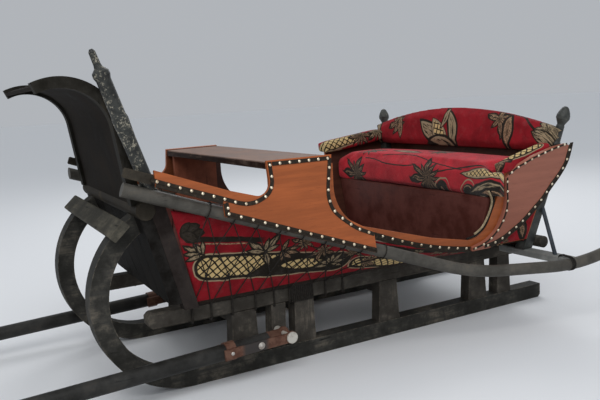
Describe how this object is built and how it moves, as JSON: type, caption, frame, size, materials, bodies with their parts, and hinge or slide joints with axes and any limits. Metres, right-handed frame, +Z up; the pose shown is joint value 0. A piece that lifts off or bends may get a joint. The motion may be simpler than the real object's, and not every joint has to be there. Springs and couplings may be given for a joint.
{
  "type": "horse drawn sleigh",
  "caption": "Low passenger sleigh on hooked wooden runners with a curled dash, driver bench, padded seat, outrigger poles and hinged shafts.",
  "frame": {"origin": "on the ground, midway between the shaft tips and the pole ends, on the centre line", "axes": "+X forward to the horse, +Y to the left, +Z up"},
  "size_m": [4.3515, 1.587, 1.1095],
  "materials": {
    "runner_wood": "weathered dark paint over bent wood",
    "frame_wood": "weathered dark paint",
    "plank_wood": "grey weathered plank",
    "floor_wood": "worn boards",
    "pole_wood": "worn dark paint on round poles",
    "dash_wood": "dark brown painted board",
    "dash_edge": "black painted ribs",
    "turned_wood": "chipped black paint on turned wood",
    "ply_orange": "varnished orange-brown plywood",
    "ply_pink": "faded varnished plywood",
    "bench_wood": "weathered mauve-brown board",
    "brown_board": "red-brown painted board",
    "carpet": "red patterned carpet",
    "rusty_steel": "rusty steel strap",
    "pin_steel": "bare steel"
  },
  "bodies": {
    "sleigh": {"runner_left": "runner_wood", "runner_right": "runner_wood", "uprights_left": "frame_wood", "uprights_right": "frame_wood", "cross_beams": "frame_wood", "pivot_block_left": "frame_wood", "pivot_block_right": "frame_wood", "side_rail_left": "frame_wood", "side_rail_right": "frame_wood", "floor_boards": "floor_wood", "front_log": "pole_wood", "front_plank": "plank_wood", "front_post_left": "frame_wood", "front_post_right": "frame_wood", "bulkhead": "dash_wood", "dash_panel": "dash_wood", "dash_ribs": "dash_edge", "rein_post": "turned_wood", "corner_bars": "pole_wood", "outrigger_left": "pole_wood", "outrigger_right": "pole_wood", "rear_member": "plank_wood", "rear_log": "frame_wood", "rear_post_left": "turned_wood", "rear_post_right": "turned_wood", "brace_rod_left": "rusty_steel", "brace_rod_right": "rusty_steel", "lower_side_left": "carpet", "lower_side_right": "carpet", "side_panel_left": "ply_orange", "side_panel_right": "ply_orange", "seat_side_left": "ply_orange", "seat_side_right": "ply_orange", "rear_wing_left": "ply_pink", "rear_wing_right": "ply_pink", "bench_board": "bench_wood", "bench_supports": "brown_board", "seat_apron": "brown_board", "seat_board": "floor_wood", "back_panel": "brown_board", "seat_cushion": "carpet", "backrest_pad": "carpet", "armrest_pads": "carpet", "pivot_pin_left": "pin_steel", "pivot_pin_right": "pin_steel"},
    "left_shaft": {"shaft_left": "pole_wood", "shaft_strap_left": "rusty_steel"},
    "right_shaft": {"shaft_right": "pole_wood", "shaft_strap_right": "rusty_steel"}
  },
  "joints": [
    {"name": "left_shaft_hinge", "type": "hinge", "parent": "sleigh", "child": "left_shaft", "pos_m": [-0.7, 0.4, 0.125], "axis": [0, -1, 0], "range_deg": [0, 27.5]},
    {"name": "right_shaft_hinge", "type": "hinge", "parent": "sleigh", "child": "right_shaft", "pos_m": [-0.7, -0.4, 0.125], "axis": [0, -1, 0], "range_deg": [0, 27.5]}
  ]
}
